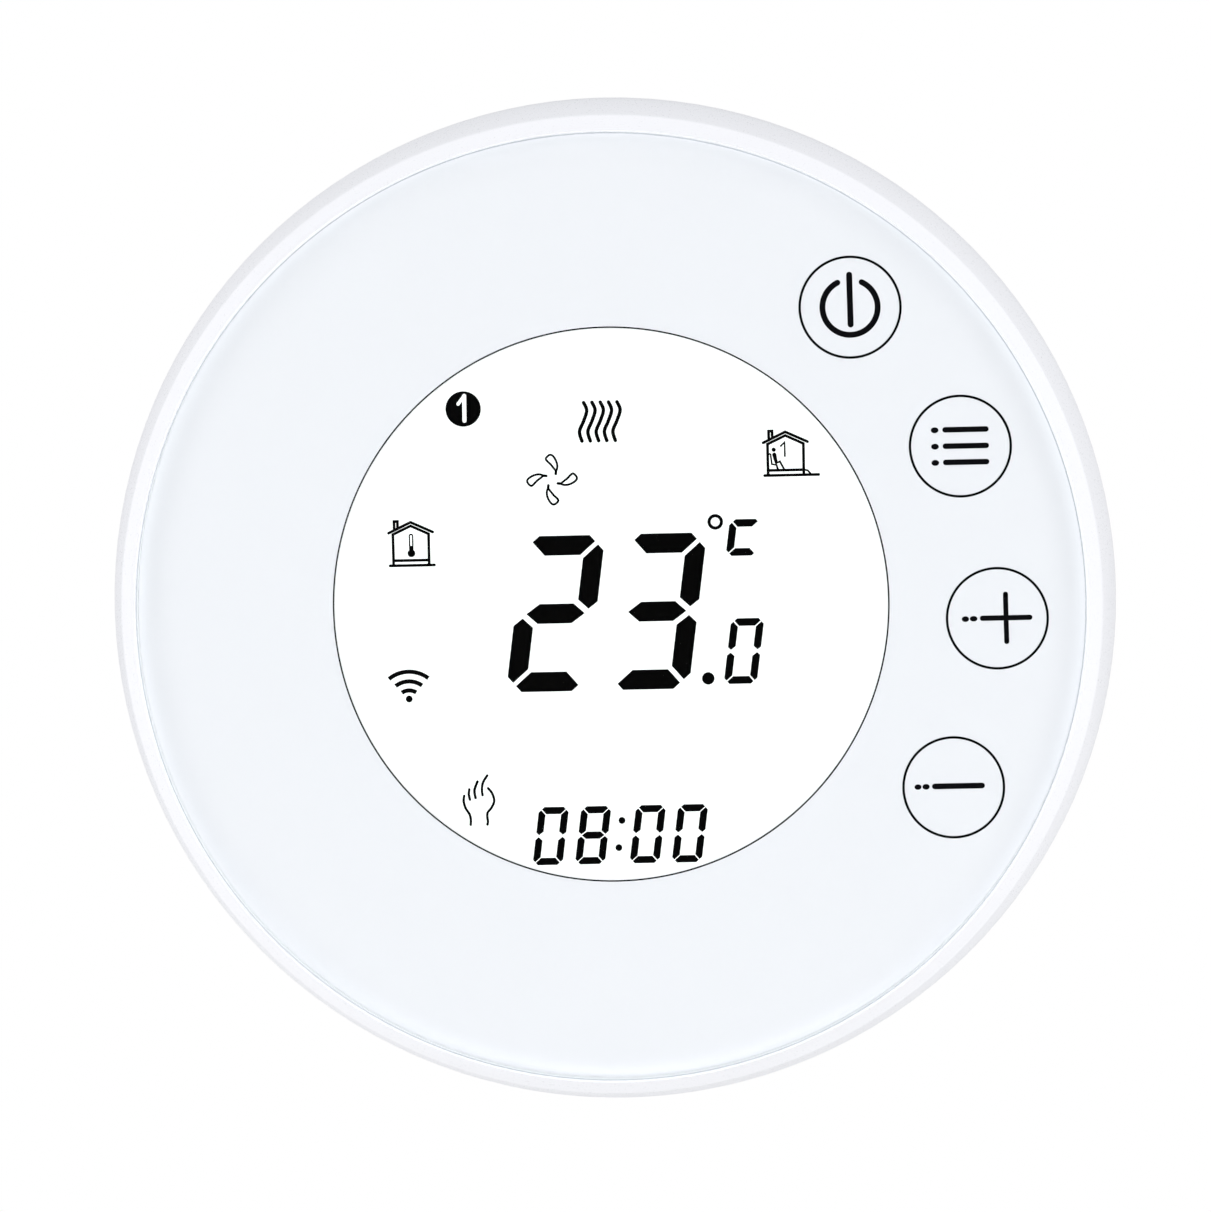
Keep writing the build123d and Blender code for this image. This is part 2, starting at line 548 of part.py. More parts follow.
# ---------------------------------------------------------------- base: supply parts on the back
def bulk_capacitors():
    cans = []
    for n, (x, y, radius, height) in enumerate(BULK_CAPS):
        groove = radius - 0.25
        skin = [(0, 0), (radius - 0.3, 0), (radius, 0.3), (radius, 0.9), (groove, 1.3), (groove, 1.7), (radius, 2.1)]
        skin += [(radius, height - 0.3), (radius - 0.3, height), (radius - 0.7, height - 0.05), (0, height - 0.05)]
        score = Pos(0, 0, height - 0.05) * cross_recess(0.25, 1.1 * radius, 0.15)
        can = Pos(x, y, POWER_BACK - 0.3) * Rot(180, 0, 0) * (turned(skin) - score)
        cans.append(can + leads(BULK_LEADS[2 * n:2 * n + 2], POWER_BACK - 0.6))
    return together(cans)


def film_capacitor():
    box = behind(FILM_CAP_X, FILM_CAP_Y, (4.9, 16.4))
    return fillet(box.edges(), 0.4) + leads(FILM_LEADS, POWER_BACK - 0.8)


def varistor():
    x, y = VARISTOR
    disc = Pos(x, y, -10.2) * Rot(90, 0, 0) * Cylinder(4.2, 3.6)
    return fillet(disc.edges(), 1.2) + leads(VARISTOR_LEADS, -8.4)


def fuse():
    box = behind(FUSE_X, FUSE_Y, (4.9, 12.4))
    return fillet(box.edges().filter_by(Axis.Z), 0.8) + leads(FUSE_LEADS, POWER_BACK - 0.8)


def transformer_core():
    """Two E-shaped ferrite halves that meet in the coil."""
    x, y = TRANSFORMER
    halves = []
    for back, front in ((6.2, 12.48), (12.52, 18.8)):
        piece = behind((x - 6.6, x + 6.6), (y - 3.1, y + 3.1), (back, front))
        for side in (-1, 1):
            a, b = sorted((x + 2.0 * side, x + 5.1 * side))
            piece -= behind((a, b), (y - 4, y + 4), (8.9, 16.1))
        halves.append(piece)
    return together(halves)


def transformer_coil():
    """Bobbin with its winding and lead rails."""
    x, y = TRANSFORMER
    coil = behind((x - 4.9, x + 4.9), (y - 6.6, y + 6.6), (9.0, 9.8))
    coil += behind((x - 4.9, x + 4.9), (y - 6.6, y + 6.6), (15.2, 16.0))
    winding = behind((x - 4.6, x + 4.6), (y - 6.2, y + 6.2), (9.7, 15.3))
    coil += fillet(winding.edges().filter_by(Axis.Z), 1.8)
    coil += behind((x - 6.4, x + 6.4), (y + 4.0, y + 6.6), (5.4, 9.2))
    coil += behind((x - 6.4, x + 6.4), (y - 6.6, y - 4.0), (5.4, 9.2))
    coil -= behind((x - 2.1, x + 2.1), (y - 3.2, y + 3.2), (5, 20))
    return coil + leads(TRANSFORMER_LEADS, -6)


# ---------------------------------------------------------------- base: relay
def relay_cover():
    outer = fillet(behind(RELAY_X, RELAY_Y, RELAY_DEPTH).edges().filter_by(Axis.Z), 0.8)
    x, y = (RELAY_X[0] + RELAY_WALL, RELAY_X[1] - RELAY_WALL), (RELAY_Y[0] + RELAY_WALL, RELAY_Y[1] - RELAY_WALL)
    return outer - behind(x, y, (RELAY_DEPTH[0] - 1, RELAY_DEPTH[1] - RELAY_WALL))


def relay_base():
    edge = RELAY_WALL + SLIP
    base = behind((RELAY_X[0] + edge, RELAY_X[1] - edge), (RELAY_Y[0] + edge, RELAY_Y[1] - edge), (4.9, 6.7))
    thin = [rod(LEAD_R + 0.1, -8, 0, x, y) for x, y in RELAY_LEADS[:2]]
    return base - thin - [rod(0.75, -8, 0, x, y) for x, y in RELAY_LEADS[2:]]


def relay_coil():
    y = RELAY_MID_Y
    flange_x, flange_y = (-16.9, -8.9), (y - 4.8, y + 4.8)
    coil = behind(flange_x, flange_y, (8.0, 8.7)) + behind((-16.8, -8.9), (y - 4.6, y + 4.6), (15.6, 16.3))
    coil += rod(3.8, -15.7, -8.6, COIL_X, y)
    return coil - rod(1.7, -20, -5, COIL_X, y) + leads(RELAY_LEADS[:2], -8.2)


def relay_yoke():
    """Iron yoke with its core, pole face and common lead."""
    y = (RELAY_MID_Y - 3.6, RELAY_MID_Y + 3.6)
    yoke = behind((-15.4, YOKE_LEG_X[1]), y, (6.9, 7.9)) + behind(YOKE_LEG_X, y, (6.9, 17.0))
    yoke += rod(1.6, -16.6, -7.0, COIL_X, RELAY_MID_Y) + rod(2.6, -16.9, -16.4, COIL_X, RELAY_MID_Y)
    return yoke + rod(0.5, -7.0, LEAD_TIP, *RELAY_LEADS[2])


def relay_armature():
    """Flap that rocks on the yoke leg's end over the pole face."""
    y = (RELAY_MID_Y - 4.0, RELAY_MID_Y + 4.0)
    knife = turned_knife(y)
    return behind((-16.4, -6.6), y, (17.4, 18.3)) + knife


def turned_knife(y):
    middle = sum(YOKE_LEG_X) / 2
    edge = [(middle - 0.5, 0, -17.5), (middle + 0.5, 0, -17.5), (middle, 0, -17.05)]
    wedge = extrude(make_face(Polyline(*edge, close=True)), (y[1] - y[0]) / 2, both=True)
    return Pos(0, RELAY_MID_Y, 0) * wedge


def relay_blade():
    """Contact spring riveted to the armature, bent down beside the yoke leg."""
    y = (RELAY_MID_Y - 3.0, RELAY_MID_Y + 3.0)
    blade = behind((-12.0, -5.4), y, (18.3, 18.55)) + behind((-5.65, -5.4), y, (9.2, 18.55))
    rivet = Pos(-5.2, RELAY_MID_Y, -CONTACT_DEPTH) * Rot(0, 90, 0) * Cylinder(1.0, 0.6)
    return blade + rivet


def relay_contact():
    """Fixed contact on its lead."""
    x, y = RELAY_LEADS[3]
    strip = behind((x - 0.25, x + 0.25), (y - 2.2, y + 2.2), (6.9, 12.2))
    strip += behind((x - 0.25, x + 0.25), (y - 0.5, y + 0.5), (-LEAD_TIP, 7.0))
    rivet = Pos(x - 0.5, y, -CONTACT_DEPTH) * Rot(0, 90, 0) * Cylinder(1.0, 0.6)
    return strip + rivet


# ---------------------------------------------------------------- base: terminals
def terminal_block():
    """Moulded block: a clamp chamber, wire entry and screw hole for each pole."""
    body = behind((-BLOCK_HALF, BLOCK_HALF), BLOCK_Y, (-POWER_BACK, STEP_DEPTH))
    cuts = []
    for x in POLE_X:
        cuts.append(behind((x - CHAMBER_HALF, x + CHAMBER_HALF), (CHAMBER_Y, 0), (5.4, SHELF[0])))
        cuts.append(behind((x - 1.8, x + 1.8), (BLOCK_Y[0] - 1, CHAMBER_Y + 1), (6.5, 9.9)))
        funnel = behind((x - 2.2, x + 2.2), (BLOCK_Y[0] - 1, BLOCK_Y[0] + 0.5), (6.1, 10.3))
        cuts.append(funnel)
        cuts.append(behind((x - 0.7, x + 0.7), (BAR_LEG_Y[0] - SLIP, BAR_LEG_Y[1] + SLIP), (4, 6)))
        cuts.append(rod(2.2, -STEP_DEPTH - 1, -SHELF[1], x, CLAMP_Y))
        cuts.append(rod(SCREW_R + 0.15, -SHELF[1] - 1, -SHELF[0] + 1, x, CLAMP_Y))
    return body - cuts


def terminal_bars():
    """Flat conductors: each runs through its clamp and down to the board."""
    bars = []
    for x in POLE_X:
        bar = behind((x - 1.6, x + 1.6), (-20.2, BAR_LEG_Y[1]), BAR_DEPTH)
        bar += behind((x - 1.6, x + 1.6), BAR_LEG_Y, (5.5, BAR_DEPTH[1]))
        bars.append(bar + behind((x - 0.6, x + 0.6), BAR_LEG_Y, (-LEAD_TIP, 5.6)))
    return together(bars)


def terminal_cage(n):
    """Clamp that rises towards its screw's head and squeezes the wire against the bar."""
    x = POLE_X[n]
    cage = behind((x - CAGE_HALF, x + CAGE_HALF), CAGE_Y, (CAGE_FLOOR, CAGE_TOP))
    cage = fillet(cage.edges().filter_by(Axis.Y), 0.5)
    cage -= behind((x - 1.8, x + 1.8), (CAGE_Y[0] - 1, CAGE_Y[1] + 1), (CAGE_SILL, CAGE_LINTEL))
    return cage - rod(SCREW_R + 0.05, -CAGE_TOP - 1, -CAGE_LINTEL + 0.5, x, CLAMP_Y)


def terminal_screw(n):
    head = turned([(0, 0), (SCREW_HEAD_R, 0), (SCREW_HEAD_R, SCREW_HEAD_H - 0.25),
                   (SCREW_HEAD_R - 0.25, SCREW_HEAD_H), (0, SCREW_HEAD_H)])
    slot = Pos(0, 0, SCREW_HEAD_H) * (Box(5.0, 0.7, 2.0) + Box(0.6, 2.2, 1.4))
    screw = head - slot + toothed_shank(SCREW_R, 5.05, 0.5)
    return Pos(POLE_X[n], CLAMP_Y, -SHELF[1]) * Rot(180, 0, 0) * screw


# ---------------------------------------------------------------- writing the nodes
NODES = [
    front_glass, mask_film, glass_adhesive, front_housing, rear_cover, cover_screws,
    lcd_front_glass, lcd_rear_glass, lcd_polarizers, lcd_holder, light_guide, reflector_sheet, zebra_strip,
    control_board, main_chip, small_chips, radio_module, radio_shield, coin_cell, cell_holder, chip_parts,
    leds, touch_springs, head_socket, room_sensor, board_screws,
    mounting_plate, power_case, case_screws, power_board, header_body, header_pins, power_chips,
    bulk_capacitors, film_capacitor, varistor, fuse, transformer_core, transformer_coil,
    relay_cover, relay_base, relay_coil, relay_yoke, relay_armature, relay_blade, relay_contact,
    terminal_block, terminal_bars,
]


def write(name, shape):
    """Turns a piece from the panel frame into the part's frame and writes it."""
    export_step(shape.rotate(Axis.X, 90), os.path.join("parts", name + ".step"))


os.makedirs("parts", exist_ok=True)
for make in NODES:
    write(make.__name__, make())
for pole in range(POLES):
    write(f"terminal_screw_{pole + 1}", terminal_screw(pole))
    write(f"terminal_cage_{pole + 1}", terminal_cage(pole))
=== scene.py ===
import json
import math

import bmesh
import bpy
from mathutils import Matrix, Vector


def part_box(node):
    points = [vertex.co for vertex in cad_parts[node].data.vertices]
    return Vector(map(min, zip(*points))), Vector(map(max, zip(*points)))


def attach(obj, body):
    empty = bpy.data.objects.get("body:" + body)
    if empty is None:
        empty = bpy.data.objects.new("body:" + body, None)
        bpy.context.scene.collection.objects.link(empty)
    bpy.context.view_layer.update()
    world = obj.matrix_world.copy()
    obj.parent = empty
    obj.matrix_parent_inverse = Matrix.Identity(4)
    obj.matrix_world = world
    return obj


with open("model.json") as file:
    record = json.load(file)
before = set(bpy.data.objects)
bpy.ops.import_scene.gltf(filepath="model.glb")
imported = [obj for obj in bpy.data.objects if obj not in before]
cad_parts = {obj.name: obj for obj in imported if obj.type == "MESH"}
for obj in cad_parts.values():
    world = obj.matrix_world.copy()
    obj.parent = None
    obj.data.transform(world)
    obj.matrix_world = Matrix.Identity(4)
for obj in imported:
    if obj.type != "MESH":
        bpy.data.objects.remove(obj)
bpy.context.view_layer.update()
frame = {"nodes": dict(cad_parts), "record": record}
NODES = frame["nodes"]
MM = 0.001

# Flat artwork is laid out in a panel frame, in millimetres: X to the right, Y up, Z towards the user.
FILM_Z = -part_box("mask_film")[0].y / MM          # front of the printed film
DISPLAY_Z = -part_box("lcd_polarizers")[0].y / MM  # front of the display
GLASS_FRONT_Z = -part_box("front_glass")[0].y / MM
INK_T = 0.006                                    # how far the print and the display figures stand out
NUMBER_T = 0.002                                 # the pale number on the programme disc
CAP_STEPS = 10                                   # flats on the half circle that ends a line
SHARPEST = 0.5                                   # a corner reaches at most 1 / SHARPEST of the half width


def place(x, y, z):
    """A panel-frame point in the row frame, in metres."""
    return Vector((x, -z, y)) * MM


# ---------------------------------------------------------------- flat shapes: (points, faces)
def polygon(points):
    return list(points), [list(range(len(points)))]


def oval(x, y, rx, ry, steps=32):
    angles = [2 * math.pi * n / steps for n in range(steps)]
    return polygon([(x + rx * math.cos(a), y + ry * math.sin(a)) for a in angles])


def disc(x, y, radius, steps=48):
    return oval(x, y, radius, radius, steps)


def ring(x, y, radius, width, steps=256):
    """Closed circular line."""
    points, faces = [], []
    for n in range(steps):
        a = 2 * math.pi * n / steps
        for r in (radius - width / 2, radius + width / 2):
            points.append((x + r * math.cos(a), y + r * math.sin(a)))
        here, after = 2 * n, 2 * ((n + 1) % steps)
        faces.append([here, here + 1, after + 1, after])
    return points, faces


def arc(x, y, radius, start, end, steps=40):
    """Points along a circle between two angles in degrees."""
    angles = [math.radians(start + (end - start) * n / steps) for n in range(steps + 1)]
    return [(x + radius * math.cos(a), y + radius * math.sin(a)) for a in angles]


def between(a, b, c, d, t):
    """Catmull-Rom value at t on the way from b to c."""
    square, cube = 2 * a - 5 * b + 4 * c - d, 3 * b - a - 3 * c + d
    return 0.5 * (2 * b + (c - a) * t + square * t * t + cube * t ** 3)


def smooth(knots, steps=8, closed=False):
    """Catmull-Rom curve through the knots."""
    count = len(knots)
    found = []
    for n in range(count if closed else count - 1):
        if closed:
            near = [knots[(n + k) % count] for k in (-1, 0, 1, 2)]
        else:
            near = [knots[min(max(n + k, 0), count - 1)] for k in (-1, 0, 1, 2)]
        xs, ys = zip(*near)
        found += [(between(*xs, s / steps), between(*ys, s / steps)) for s in range(steps)]
    if not closed:
        found.append(tuple(knots[-1]))
    return found


def stroke(path, width, closed=False, round_ends=True, taper=(1, 1)):
    """Line along the path, with mitred corners. Its width runs between the two taper shares."""
    knots = [Vector(p) for p in path]
    count = len(knots)
    points, faces = [], []
    for n, knot in enumerate(knots):
        back = (knot - knots[n - 1]).normalized() if n > 0 or closed else None
        on = (knots[(n + 1) % count] - knot).normalized() if n < count - 1 or closed else None
        back, on = back or on, on or back
        side = Vector((-back.y - on.y, back.x + on.x)).normalized()
        spread = max(SHARPEST, side.dot(Vector((-back.y, back.x))))
        half = width / 2 / spread * (taper[0] + (taper[1] - taper[0]) * n / (count - 1))
        points += [tuple(knot + side * half), tuple(knot - side * half)]
    for n in range(count if closed else count - 1):
        here, after = 2 * n, 2 * ((n + 1) % count)
        faces.append([here, here + 1, after + 1, after])
    if round_ends and not closed:
        for end, sense in ((0, 1), (count - 1, -1)):
            centre, left = knots[end], Vector(points[2 * end])
            half = (left - Vector(points[2 * end + 1])).length / 2
            first = math.atan2(left.y - centre.y, left.x - centre.x)
            angles = [first + sense * math.pi * s / CAP_STEPS for s in range(1, CAP_STEPS)]
            start = len(points)
            points += [(centre.x + half * math.cos(a), centre.y + half * math.sin(a)) for a in angles]
            faces.append([2 * end, *range(start, len(points)), 2 * end + 1])
    return points, faces


def merged(*shapes):
    points, faces = [], []
    for more_points, more_faces in shapes:
        start = len(points)
        points += more_points
        faces += [[i + start for i in face] for face in more_faces]
    return points, faces


def moved(shape, x, y):
    points, faces = shape
    return [(px + x, py + y) for px, py in points], faces


def sense_of(points):
    """1 for an outline that runs anticlockwise, else -1."""
    doubled = sum(points[n - 1][0] * y - x * points[n - 1][1] for n, (x, y) in enumerate(points))
    return 1 if doubled > 0 else -1


def flat_piece(name, shape, z, thick, material):
    """Thin raised piece of this flat shape on the head, from z outwards. Its outline gets side walls."""
    points, faces = shape
    mesh = bpy.data.meshes.new(name)
    bm = bmesh.new()
    low = [bm.verts.new(place(x, y, z)) for x, y in points]
    high = [bm.verts.new(place(x, y, z + thick)) for x, y in points]
    edges = {}
    for face in faces:
        loop = face[::sense_of([points[i] for i in face])]
        bm.faces.new([high[i] for i in loop])
        bm.faces.new([low[i] for i in reversed(loop)])
        edges.update(dict.fromkeys(zip(loop[-1:] + loop[:-1], loop)))
    for a, b in edges:
        if (b, a) not in edges:
            bm.faces.new([low[a], low[b], high[b], high[a]])
    bm.normal_update()
    bm.to_mesh(mesh)
    bm.free()
    mesh.materials.append(material)
    obj = bpy.data.objects.new(name, mesh)
    bpy.context.scene.collection.objects.link(obj)
    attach(obj, "head")


# ---------------------------------------------------------------- shader nodes
def add(tree, kind, inputs=None, **settings):
    """New node. Each input is a constant for that socket, or the output that feeds it."""
    node = tree.nodes.new("ShaderNode" + kind)
    for name, value in settings.items():
        setattr(node, name, value)
    for socket, value in (inputs or {}).items():
        if isinstance(value, bpy.types.NodeSocket):
            tree.links.new(value, node.inputs[socket])
        else:
            node.inputs[socket].default_value = value
    return node


def worked(tree, operation, *values):
    """Output of a sum on constants and other outputs."""
    return add(tree, "Math", dict(enumerate(values)), operation=operation).outputs["Value"]


def ramp(tree, source, start, end, low=0.0, high=1.0):
    """Runs from low to high as the source runs from start to end, and stays level past them."""
    ends = {"From Min": start, "From Max": end, "To Min": low, "To Max": high}
    return add(tree, "MapRange", {"Value": source, **ends}).outputs["Result"]


def by_noise(tree, noise, low, high):
    """Value between low and high, by a pattern that mostly lies between 0.3 and 0.7."""
    return ramp(tree, noise, 0.3, 0.7, low, high)


def mixed(tree, factor, color, other):
    mix = add(tree, "Mix", {"Factor": factor, "A": (*color, 1), "B": (*other, 1)}, data_type="RGBA")
    return mix.outputs["Result"]


def object_place(tree):
    return add(tree, "TexCoord").outputs["Object"]


def object_noise(tree, scale, detail=3.0, stretch=None):
    """Noise fixed to the piece. The scale counts features per metre."""
    where = object_place(tree)
    if stretch:
        where = add(tree, "Mapping", {"Vector": where, "Scale": stretch}).outputs["Vector"]
    noise = add(tree, "TexNoise", {"Vector": where, "Scale": scale, "Detail": detail, "Roughness": 0.55})
    return noise.outputs["Fac"]


def level_normal(tree):
    """Normal for shading: plain on faces square or at 45 degrees to the piece's axes, smooth elsewhere."""
    slack = 0.00002
    geometry = add(tree, "NewGeometry").outputs
    local = add(tree, "VectorTransform", {"Vector": geometry["True Normal"]},
                vector_type="NORMAL", convert_from="WORLD", convert_to="OBJECT")
    size = add(tree, "VectorMath", {0: local.outputs["Vector"]}, operation="ABSOLUTE")
    axes = add(tree, "SeparateXYZ", {"Vector": size.outputs["Vector"]}).outputs
    most = worked(tree, "MAXIMUM", worked(tree, "MAXIMUM", axes["X"], axes["Y"]), axes["Z"])
    square = worked(tree, "GREATER_THAN", most, 1 - slack)
    diagonal = worked(tree, "GREATER_THAN", worked(tree, "MULTIPLY", axes["X"], axes["Z"]), 0.5 - slack)
    mix = add(tree, "Mix", {"Factor": worked(tree, "MAXIMUM", square, diagonal),
                            "A": geometry["Normal"], "B": geometry["True Normal"]}, data_type="VECTOR")
    return mix.outputs["Result"]


def bumped(tree, height, depth, strength=0.35):
    """Normal with this relief, its depth in millimetres."""
    return add(tree, "Bump", {"Strength": strength, "Distance": depth * MM, "Height": height,
                              "Normal": level_normal(tree)}).outputs["Normal"]


def radius_band(tree, low, high, power=1.0):
    """Rises from 0 at one radius about the panel's axis to 1 at the other, in millimetres."""
    level = add(tree, "VectorMath", {0: object_place(tree), 1: (1, 0, 1)}, operation="MULTIPLY")
    radius = add(tree, "VectorMath", {0: level.outputs["Vector"]}, operation="LENGTH")
    return worked(tree, "POWER", ramp(tree, radius.outputs["Value"], low * MM, high * MM), power)


# ---------------------------------------------------------------- materials
GLASS_IOR = 1.45
# Painted shade seen through the pane's front bevel
BEVEL_PAINTED_SHADE = (0.71, 0.73, 0.76)
BEVEL_FACING, BEVEL_SLACK = 0.707, 0.1           # finds a 45 degree bevel by the Y of its normal
# Colour of the painted light on the film's edge and on the rim's seat
PAINTED_LIGHT_COLOR = (0.95, 0.965, 1.0, 1)
FILM_EDGE = (44.3, 46.9)                         # radii of the band of painted light on the film's edge
FILM_EDGE_POWER, FILM_EDGE_PAINTED_LIGHT = 2.6, 0.245
SEAT_INNER, SEAT_OUTER = (46.78, 46.80), (47.04, 47.06)  # radii where the painted light on the seat begins and ends
SEAT_PAINTED_LIGHT = 0.06


def new_material(name):
    mat = bpy.data.materials.new(name)
    mat.use_nodes = True
    mat.node_tree.nodes.clear()
    return mat, mat.node_tree


def covered(tree, inputs):
    """Makes a Principled shader with these inputs the surface of the material."""
    bsdf = add(tree, "BsdfPrincipled", inputs)
    add(tree, "OutputMaterial", {"Surface": bsdf.outputs["BSDF"]})


def surface(name, color, rough, shift=0.03, metal=0.0, grain=1800, grain_depth=0.02, blotch=90,
            rough_shift=0.06, specular=0.5, emission=0.0, stretch=None):
    """Opaque material with a fine grain in its relief and slow changes of colour and roughness."""
    mat, tree = new_material(name)
    slow = object_noise(tree, blotch, detail=4)
    fine = object_noise(tree, grain, detail=2, stretch=stretch)
    darker = [c * (1 - shift) for c in color]
    covered(tree, {
        "Base Color": mixed(tree, by_noise(tree, slow, 0, 1), color, darker),
        "Roughness": by_noise(tree, fine, rough - rough_shift, rough + rough_shift),
        "Metallic": metal,
        "Specular IOR Level": specular,
        "Emission Color": (*color, 1),
        "Emission Strength": emission,
        "Normal": bumped(tree, fine, grain_depth),
    })
    return mat


def painted_glow(mat, share, strength):
    """Painted light: this piece glows by this share times this strength, standing in for light from the
    pane's edge.
    """
    bsdf = next(node for node in mat.node_tree.nodes if node.type == "BSDF_PRINCIPLED")
    bsdf.inputs["Emission Color"].default_value = PAINTED_LIGHT_COLOR
    amount = worked(mat.node_tree, "MULTIPLY", share, strength)
    mat.node_tree.links.new(amount, bsdf.inputs["Emission Strength"])


def film_surface(name, color):
    """Printed film, with painted light along its outer edge that keeps that edge bright where the rim shades
    it, standing in for light caught in the pane above.
    """
    mat = surface(name, color, 0.5, shift=0.006, grain=2500, grain_depth=0.002, blotch=25)
    painted_glow(mat, radius_band(mat.node_tree, *FILM_EDGE, FILM_EDGE_POWER), FILM_EDGE_PAINTED_LIGHT)
    return mat


def rim_surface(name, color):
    """Rim plastic, with painted light on the seat and wall around the pane, standing in for light that leaves
    the pane's edge.
    """
    mat = surface(name, color, 0.32, shift=0.012, grain=5200, grain_depth=0.002, blotch=60)
    inner, outer = radius_band(mat.node_tree, *SEAT_INNER), radius_band(mat.node_tree, *SEAT_OUTER)
    painted_glow(mat, worked(mat.node_tree, "SUBTRACT", inner, outer), SEAT_PAINTED_LIGHT)
    return mat


def bevel_painted_shade(tree, normal, color):
    """Colour that passes through the pane, with painted shade on the 45 degree bevel round its front, which
    lets a little less light through.
    """
    facing = worked(tree, "ABSOLUTE", add(tree, "SeparateXYZ", {"Vector": normal}).outputs["Y"])
    return mixed(tree, worked(tree, "COMPARE", facing, BEVEL_FACING, BEVEL_SLACK), color, BEVEL_PAINTED_SHADE)


def clear(name, color):
    """Clear pane: shows what is behind it and adds only the gloss of its outer face, with a little haze."""
    mat, tree = new_material(name)
    geometry = add(tree, "NewGeometry").outputs
    haze = object_noise(tree, 140, detail=5)
    normal = bumped(tree, haze, 0.004, 0.1)
    # The front bevel gets painted shade in the colour seen through it.
    through = add(tree, "BsdfTransparent", {"Color": bevel_painted_shade(tree, geometry["True Normal"], color)})
    gloss = add(tree, "BsdfGlossy", {"Color": (1, 1, 1, 1), "Roughness": by_noise(tree, haze, 0.03, 0.08),
                                     "Normal": normal})
    fresnel = add(tree, "Fresnel", {"IOR": GLASS_IOR, "Normal": normal})
    outer_face = worked(tree, "SUBTRACT", 1.0, geometry["Backfacing"])
    mix = add(tree, "MixShader", {"Fac": worked(tree, "MULTIPLY", fresnel.outputs["Fac"], outer_face),
                                  1: through.outputs["BSDF"], 2: gloss.outputs["BSDF"]})
    add(tree, "OutputMaterial", {"Surface": mix.outputs["Shader"]})
    return mat


def board_surface(name, color, track):
    """Solder mask over copper tracks."""
    mat, tree = new_material(name)
    upright = add(tree, "Mapping", {"Vector": object_place(tree), "Rotation": (math.radians(90), 0, 0)})
    cells = add(tree, "TexBrick", {
        "Vector": upright.outputs["Vector"],
        "Scale": 330,
        "Mortar Size": 0.035,
        "Mortar Smooth": 0.1,
        "Brick Width": 2.3,
        "Row Height": 0.31,
        "Color1": (*color, 1),
        "Color2": (*[c * 0.86 for c in color], 1),
        "Mortar": (*track, 1),
    }).outputs
    covered(tree, {
        "Base Color": cells["Color"],
        "Roughness": by_noise(tree, object_noise(tree, 500), 0.25, 0.42),
        "Normal": bumped(tree, cells["Fac"], 0.03, 0.4),
    })
    return mat


def wound(name, color, dark, turns_per_metre, axis):
    """Fine wire laid side by side along one axis."""
    mat, tree = new_material(name)
    wave = add(tree, "TexWave", {"Vector": object_place(tree), "Scale": turns_per_metre, "Distortion": 0.6},
               wave_type="BANDS", bands_direction=axis).outputs["Fac"]
    covered(tree, {
        "Base Color": mixed(tree, by_noise(tree, wave, 0, 1), dark, color),
        "Roughness": by_noise(tree, wave, 0.5, 0.3),
        "Metallic": 0.6,
        "Normal": bumped(tree, wave, 0.08, 0.8),
    })
    return mat


